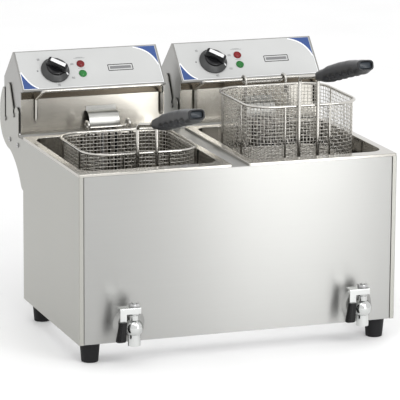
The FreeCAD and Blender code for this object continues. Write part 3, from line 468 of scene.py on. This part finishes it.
# ---- printed panels -----------------------------------------------------------------------
PANEL_RISE, PANEL_RUN = 60.0, 57.5                 # of the sloping panel, in height and in depth
SLOPE = math.atan2(PANEL_RISE, PANEL_RUN)
COS, SIN = math.cos(SLOPE), math.sin(SLOPE)
FOIL_INSET = (3.0, 3.2)                            # of the printed foil, from the panel's corner
FOIL_THICK = 0.4
FIELD_LOW, FIELD_HIGH = 0.42, 0.58                 # heights of printed fields above the panel
STROKE_LOW, STROKE_HIGH = 0.40, 0.52               # and of printed strokes
LEFT, RIGHT, FOOT, HEAD = 4.0, 254.4, 4.4, 79.4    # outer edges of the blue corner fields
LINE_LEFT, LINE_RIGHT, LINE_FOOT = 3.4, 254.9, 3.8
CORNER_LINE, BORDER_LINE = 2.4, 0.9                # widths


def on_panel(side, x, s, height):
    """Place on a head's sloping panel: across, up the slope and above it."""
    low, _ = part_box("control_overlay_" + side)
    return (low.x / MM - FOIL_INSET[0] + x,
            low.y / MM - FOIL_INSET[1] * COS + FOIL_THICK * SIN + s * COS - height * SIN,
            low.z / MM - FOIL_INSET[1] * SIN + s * SIN + height * COS)


def printed(name, side, outlines, mat, low, high):
    """One mesh of thin raised shapes on the panel from (across, up) outlines."""
    verts, faces = [], []
    for outline in outlines:
        base, n = len(verts), len(outline)
        verts += [on_panel(side, x, s, high) for x, s in outline]
        verts += [on_panel(side, x, s, low) for x, s in outline]
        faces.append(tuple(base + k for k in range(n)))
        faces.append(tuple(base + k for k in reversed(range(n, 2 * n))))
        faces += [(base + n + k, base + n + (k + 1) % n, base + (k + 1) % n, base + k)
                  for k in range(n)]
    build(f"{name}_{side}", verts, faces, mat, "head_" + side, "overlay", smooth=False)


def field(name, side, outline, mat):
    printed(name, side, [outline], mat, FIELD_LOW, FIELD_HIGH)


def bezier(a, b, c, d, steps=14):
    """Points of a cubic curve."""
    out = []
    for k in range(steps + 1):
        t = k / steps
        weights = (1 - t) ** 3, 3 * (1 - t) ** 2 * t, 3 * (1 - t) * t * t, t ** 3
        out.append(tuple(sum(w * p[i] for w, p in zip(weights, (a, b, c, d))) for i in (0, 1)))
    return out


def ribbon(path, width):
    """Outline of a strip of that width along a path."""
    left, right = [], []
    for i, p in enumerate(path):
        a, b = path[max(i - 1, 0)], path[min(i + 1, len(path) - 1)]
        dx, dy = b[0] - a[0], b[1] - a[1]
        size = math.hypot(dx, dy)
        nx, ny = -dy / size * width / 2, dx / size * width / 2
        left.append((p[0] + nx, p[1] + ny))
        right.append((p[0] - nx, p[1] - ny))
    return left + right[::-1]


def corner_fields(side):
    """The blue corners with their white edge lines, and the white border between them."""
    inset = 0.9                                    # of the edge line's middle, over the blue
    lower = bezier((LEFT, 38.0), (9.0, 26.0), (16.0, 10.0), (29.0, FOOT))
    field("corner_low", side, [(LEFT, FOOT)] + lower[::-1], PRINT_BLUE)
    line = [(x + inset, s + inset) for x, s in lower]
    field("corner_low_line", side, ribbon(line, CORNER_LINE), PRINT_WHITE)
    upper = bezier((216.0, HEAD), (238.0, 74.0), (249.0, 62.0), (RIGHT, 41.0))
    field("corner_high", side, [(RIGHT, HEAD)] + upper, PRINT_BLUE)
    line = [(x - inset, s - inset) for x, s in upper]
    field("corner_high_line", side, ribbon(line, CORNER_LINE), PRINT_WHITE)
    borders = (((LINE_LEFT, LINE_FOOT), (LINE_RIGHT, LINE_FOOT)),
               ((LINE_RIGHT, LINE_FOOT), (LINE_RIGHT, 40.0)),
               ((LINE_LEFT, LINE_FOOT), (LINE_LEFT, 39.0)))
    for k, ends in enumerate(borders):
        field(f"border_{k}", side, ribbon(ends, BORDER_LINE), PRINT_WHITE)


for side in SIDES:
    corner_fields(side)


# ---- dials, badge, lamps ------------------------------------------------------------------
# Seven-stroke digits: the strokes of each digit, and each stroke's ends on a 1 by 2 grid
SEGMENTS = {"0": "abcdef", "1": "bc", "2": "abged", "5": "afgcd", "6": "afgedc", "9": "gfabcd"}
STROKES = {"a": ((0, 2), (1, 2)), "b": ((1, 2), (1, 1)), "c": ((1, 1), (1, 0)),
           "d": ((0, 0), (1, 0)), "e": ((0, 1), (0, 0)), "f": ((0, 2), (0, 1)),
           "g": ((0, 1), (1, 1))}
DIGIT_H = 3.2
DIGIT_W = DIGIT_H * 0.45
DIGIT_STEP = DIGIT_H * 0.72
SCALE = (("60", 41, 63.5), ("120", 98, 50.5), ("150", 95, 22.5), ("190", 67, 9.5))
LAMP_BARS = (((104, 62.0), (124, 62.0)), ((108, 63.6), (120, 63.6)), ((108, 41.0), (120, 41.0)))
ZERO_DOT = (35, 40, 1.6)                           # across, up, radius
LAMP_X = 114
LAMPS = (("lamp_red", 50.0, LENS_RED), ("lamp_green", 30.0, LENS_GREEN))
LAMP_RINGS = ((6.3, 1.5, 0.55), (4.3, 3.1, 0.35), (2.2, 3.85, 0.3))   # radius, height, thickness
BADGE = (162.0, 206.0, 33.0, 45.0)                 # left, right, foot, head

KNOB_AT = (66.0, 39.0)
TURN = math.radians(-33.0)
SKIRT = [(0, 1.2), (24.4, 1.2), (25.0, 1.8), (25.0, 3.2), (24.5, 3.9), (24.1, 3.9), (23.6, 4.9),
         (23.2, 4.9), (22.6, 6.1), (22.1, 6.1), (21.5, 7.3), (21.0, 7.3), (20.3, 8.4),
         (19.7, 8.4), (19.0, 9.6), (18.3, 9.6), (17.6, 10.5), (16.6, 10.5), (0, 10.4)]
HUB = [(0, 10.0), (16.2, 10.0), (16.4, 10.8), (16.0, 12.4), (14.6, 13.4), (10.0, 13.5), (0, 13.5)]
BAR = [(38.0, 12.5, 5.5, 11.5), (37.6, 11.8, 5.2, 16.0), (36.6, 10.6, 4.7, 22.0),
       (36.0, 10.0, 4.5, 25.9), (35.6, 9.6, 4.3, 26.6), (34.6, 8.6, 3.8, 27.0)]
INSERT = [(27.0, 7.0, 0.8, 26.6), (27.0, 7.0, 0.8, 27.1), (26.4, 6.4, 0.6, 27.35)]
MARK = [(4.6, 2.4, 1.0, -0.6), (4.6, 2.4, 1.0, 0.6), (4.0, 1.8, 0.8, 0.9)]
MARK_AT = (21.6, 7.4)                              # out from the axis, and up
SKIRT_FALL = 0.7                                   # of the skirt's cone, per millimetre outward


def strokes(name, side, lines, mat, width):
    printed(name, side, [ribbon(line, width) for line in lines], mat, STROKE_LOW, STROKE_HIGH)


def number(text, x, s):
    """Strokes of a number about its middle."""
    x -= (len(text) * DIGIT_STEP - DIGIT_STEP * 0.3) / 2
    return [[(x + k * DIGIT_STEP + px * DIGIT_W, s + (py - 1) * DIGIT_H / 2)
             for px, py in STROKES[stroke]]
            for k, digit in enumerate(text) for stroke in SEGMENTS[digit]]


def circle(x, y, r, count):
    return [(x + r * math.cos(2 * math.pi * k / count), y + r * math.sin(2 * math.pi * k / count))
            for k in range(count)]


def dial(side):
    def place(x, y, height):
        return on_panel(side, KNOB_AT[0] + x * math.cos(TURN) - y * math.sin(TURN),
                        KNOB_AT[1] + x * math.sin(TURN) + y * math.cos(TURN), height)

    def mark_at(x, y, height):
        return place(MARK_AT[0] + x, y, MARK_AT[1] + height - SKIRT_FALL * x)

    body = "knob_" + side
    ring = build("dial_skirt_" + side, *lathe(SKIRT, place), KNOB, body, "knob_plastic")
    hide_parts("knob_" + side)
    build("dial_hub_" + side, *lathe(HUB, place), GLOSS, body, "knob_plastic")
    build("dial_bar_" + side, *stack(BAR, place), GLOSS, body, "knob_plastic")
    build("dial_insert_" + side, *stack(INSERT, place), SILVER, body, "knob_plastic")
    build("dial_mark_" + side, *stack(MARK, mark_at), PRINT_WHITE, body, "knob_plastic")


def dial_prints(side):
    lines = [line for text, x, s in SCALE for line in number(text, x, s)]
    strokes("dial_numbers", side, lines + list(LAMP_BARS), PRINT_GREY, 0.55)
    field("dial_zero", side, circle(*ZERO_DOT, 20), PRINT_GREY)


def badge(side):
    """Blank plate: a black frame round a grey field."""
    x0, x1, s0, s1 = BADGE
    corners = [(x0, s0), (x1, s0), (x1, s1), (x0, s1)]
    strokes("badge_edge", side, list(zip(corners, corners[1:] + corners[:1])), GLOSS, 1.3)
    dx, ds = 3.0, 3.2
    field("badge_field", side, [(x0 + dx, s0 + ds), (x1 - dx, s0 + ds), (x1 - dx, s1 - ds),
                                (x0 + dx, s1 - ds)], PRINT_GREY)


def lamp_rings(side):
    for node, s, mat in LAMPS:
        verts, faces = [], []
        for r, height, thick in LAMP_RINGS:
            path = [on_panel(side, x, y, height) for x, y in circle(LAMP_X, s, r, 40)]
            tube(verts, faces, path, thick, 8, True)
        colour = node.removeprefix("lamp_")
        build(f"{node}_rings_{side}", verts, faces, mat, "head_" + side, "lens_" + colour)


for side in SIDES:
    dial(side)
    dial_prints(side)
    badge(side)
    lamp_rings(side)


# ---- moulded grips ------------------------------------------------------------------------
GRIP_TILT = math.radians(15.1)
GRIP_L = 183.0 / math.cos(GRIP_TILT)
GRIP_ROOT = (96.5 + 65.0, 61.5)                    # out from the basket's middle, above its rim
RIM_RISE = 1.5                                     # from the mesh's top to the rim wire's
GRIP_HALF_W = 13.9
GRIP_TOPS = ((0, 8.2), (22, 10.3), (55, 13.6), (95, 14.5), (130, 13.9), (160, 11.3),
             (GRIP_L, 8.9))                        # (distance out, height)
ROOT_UNDER, BELLY_UNDER, END_UNDER = -8.6, -13.0, -8.4
FINGERS = 5                                        # scallops in the grip's under side
FINGER_FIRST, FINGER_LAST = 34.0, GRIP_L - 24.0
FINGER_STEP = (FINGER_LAST - FINGER_FIRST) / FINGERS
FINGER_MIDDLES = [FINGER_FIRST + FINGER_STEP * (k + 0.5) for k in range(FINGERS)]
SCALLOP = 3.4
DENT_DEPTH, DENT_AT = 4.6, -6.6                    # of the dents in the grip's sides
DENT_HALF = (7.0, 2.6)                             # along and up


def blend(table, t):
    """Smooth height from (position, height) pairs."""
    for (t0, h0), (t1, h1) in zip(table, table[1:]):
        if t <= t1:
            u = (t - t0) / (t1 - t0)
            return h0 + (h1 - h0) * u * u * (3 - 2 * u)
    return table[-1][1]


def grip_under(t):
    if t < FINGER_FIRST:
        return blend(((0, ROOT_UNDER), (FINGER_FIRST, BELLY_UNDER)), t)
    if t > FINGER_LAST:
        return blend(((FINGER_LAST, BELLY_UNDER), (GRIP_L, END_UNDER)), t)
    u = ((t - FINGER_FIRST) / FINGER_STEP) % 1.0
    return BELLY_UNDER + SCALLOP * (1 - (2 * u - 1) ** 2)


def basket_handle(side):
    low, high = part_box("basket_mesh_" + side)
    cx, cy = (low.x + high.x) / 2 / MM, (low.y + high.y) / 2 / MM
    rim = high.z / MM + RIM_RISE

    def place(x, t, z):
        return (cx + x,
                cy - GRIP_ROOT[0] - t * math.cos(GRIP_TILT) + z * math.sin(GRIP_TILT),
                rim + GRIP_ROOT[1] + t * math.sin(GRIP_TILT) + z * math.cos(GRIP_TILT))

    def ring(t, shrink_w, shrink_h, depth=0.0, around=72):
        top, under = blend(GRIP_TOPS, t), grip_under(t)
        mid, half = (top + under) / 2, (top - under) / 2
        out = []
        for k in range(around):
            a, b = oval(2 * math.pi * k / around, 0.55)
            x, z = GRIP_HALF_W * a * shrink_w, mid + half * b * shrink_h
            for m in FINGER_MIDDLES:
                dent = math.exp(-((t - m) / DENT_HALF[0]) ** 2
                                - ((z - DENT_AT) / DENT_HALF[1]) ** 2)
                x -= math.copysign(DENT_DEPTH * dent, x) * min(1.0, abs(x) / 8.0)
            out.append(place(x, t - depth, z))
        return out

    rows = 150
    rings = [ring(0.0, 0.55, 0.55), ring(0.0, 0.86, 0.86), ring(1.2, 0.96, 0.96)]
    rings += [ring(2.5 + (GRIP_L - 4.5) * k / rows, 1.0, 1.0) for k in range(rows + 1)]
    rings += [ring(GRIP_L - 0.8, 0.975, 0.965), ring(GRIP_L, 0.93, 0.90),
              ring(GRIP_L, 0.80, 0.76), ring(GRIP_L, 0.77, 0.72, 0.6),
              ring(GRIP_L, 0.75, 0.70, 6.6), ring(GRIP_L, 0.40, 0.36, 6.8)]
    obj = build("moulded_grip_" + side, *loft(rings), BLACK, "basket_" + side, "black_plastic")
    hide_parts("basket_grip_" + side)

    end_top = GRIP_TOPS[-1][1]
    mid, half = (end_top + END_UNDER) / 2, (end_top - END_UNDER) / 2 * 0.70

    def plug_at(x, y, height):
        return place(x, GRIP_L - 5.5 + height, mid + y)

    levels = [(20.0, half * 1.75, 2.0, 0.0), (20.0, half * 1.75, 2.0, 1.6),
              (18.6, half * 1.55, 1.6, 2.3)]
    build("grip_plug_" + side, *stack(levels, plug_at), PLUG, "basket_" + side, "grey_plastic")


# ---- ribbed tap sleeves -------------------------------------------------------------------
SLEEVE_TOP = (6.5, 4.5)                            # half width and half depth
SLEEVE_FOOT = (8.5, 6.0)
SLEEVE_ENDS = ((0.0, 0.90), (0.02, 0.98), (0.06, 1.0), (0.10, 1.0), (0.90, 1.0), (0.95, 0.97),
               (0.985, 0.90), (1.0, 0.74))         # (share of the height from the top, size)
GROOVE = 0.07                                      # share of the radius
GROOVE_EVERY, GROOVE_WIDE = 6, 2                   # in points round the sleeve


def tap_sleeve(side):
    low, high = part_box("tap_grip_" + side)
    top, foot = high.z / MM, low.z / MM
    x_top, x_foot = high.x / MM - SLEEVE_TOP[0], low.x / MM + SLEEVE_FOOT[0]
    y_mid = (low.y + high.y) / 2 / MM
    around = 144
    rings = []
    for u, size in SLEEVE_ENDS:
        x_mid = x_top + (x_foot - x_top) * u
        half_w, half_d = (a + (b - a) * u for a, b in zip(SLEEVE_TOP, SLEEVE_FOOT))
        ring = []
        for k in range(around):
            a, b = oval(2 * math.pi * k / around, 0.62)
            grooved = k % GROOVE_EVERY < GROOVE_WIDE and 0.05 < u < 0.96
            reach = size * (1 - GROOVE if grooved else 1.0)
            ring.append((x_mid + half_w * a * reach, y_mid + half_d * b * reach,
                         top + (foot - top) * u))
        rings.append(ring)
    obj = build("ribbed_sleeve_" + side, *loft(rings), SLEEVE, "tap_" + side, "black_plastic",
                smooth=False)
    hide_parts("tap_grip_" + side)


for side in SIDES:
    basket_handle(side)
    tap_sleeve(side)


# ---- floor, light, camera, in metres ------------------------------------------------------
FLOOR_HALF = 8
# name, place, target, width, height, power
LIGHTS = (("key", (-1.2, -1.4, 2.8), (0, 0, 0.25), 1.6, 1.6, 8),
          ("card", (0.505, -1.25, 0.52), (0.12, -0.16, 0.2), 0.32, 1.0, 4.0),
          ("front", (0.25, -1.9, 1.7), (0.05, -0.45, 0), 1.2, 0.8, 14),
          ("under", (0, 0.02, 0.031), (0, 0.02, 0), 0.50, 0.26, 0.28))
SKY_STRENGTH = 1.08
CAMERA_AZIMUTH, CAMERA_ELEVATION, CAMERA_ROLL = (math.radians(a) for a in (19.65, 12.81, 0.35))
CAMERA_TARGET = Vector((-0.01367, -0.0005, 0.22435))
CAMERA_DISTANCE = 5.0695
CAMERA_LENS = 270.0


def floor():
    h = FLOOR_HALF
    data = bpy.data.meshes.new("floor")
    data.from_pydata([(-h, -h, 0), (h, -h, 0), (h, h, 0), (-h, h, 0)], [], [(0, 1, 2, 3)])
    mat, tree, shader = new_material("floor_paper", (0.90, 0.90, 0.90), 0.0, 0.6)
    paper = spread(tree, noise(tree, (3, 3, 3), 3.0), 0, 1)
    tree.links.new(mixed(tree, paper, (0.885, 0.885, 0.885, 1), (0.91, 0.91, 0.91, 1)),
                   shader.inputs["Base Color"])
    data.materials.append(mat)
    obj = bpy.data.objects.new("floor", data)
    bpy.context.scene.collection.objects.link(obj)


def area(name, place, target, width, height, power):
    light = bpy.data.lights.new(name, "AREA")
    light.shape = "RECTANGLE"
    light.size, light.size_y = width, height
    light.energy = power
    obj = bpy.data.objects.new(name, light)
    obj.location = place
    obj.rotation_euler = (Vector(target) - Vector(place)).to_track_quat("-Z", "Y").to_euler()
    bpy.context.scene.collection.objects.link(obj)


def camera():
    sin_a, cos_a = math.sin(CAMERA_AZIMUTH), math.cos(CAMERA_AZIMUTH)
    flat, drop = math.cos(CAMERA_ELEVATION), math.sin(CAMERA_ELEVATION)
    ahead = Vector((sin_a * flat, cos_a * flat, -drop))
    level = Vector((cos_a, -sin_a, 0))
    upright = level.cross(ahead)
    right = level * math.cos(CAMERA_ROLL) + upright * math.sin(CAMERA_ROLL)
    up = upright * math.cos(CAMERA_ROLL) - level * math.sin(CAMERA_ROLL)
    cam = bpy.data.cameras.new("camera")
    cam.lens, cam.sensor_width = CAMERA_LENS, 36.0
    cam.clip_start, cam.clip_end = 0.1, 60.0
    obj = bpy.data.objects.new("camera", cam)
    turn = Matrix((right, up, -ahead)).transposed()
    obj.matrix_world = Matrix.Translation(CAMERA_TARGET - ahead * CAMERA_DISTANCE) @ turn.to_4x4()
    bpy.context.scene.collection.objects.link(obj)
    bpy.context.scene.camera = obj


floor()
for light in LIGHTS:
    area(*light)
camera()

world = bpy.data.worlds.new("studio")
world.use_nodes = True
sky = world.node_tree.nodes["Background"]
sky.inputs["Color"].default_value = (1, 1, 1, 1)
sky.inputs["Strength"].default_value = SKY_STRENGTH
bpy.context.scene.world = world
bpy.context.scene.view_settings.view_transform = "Standard"
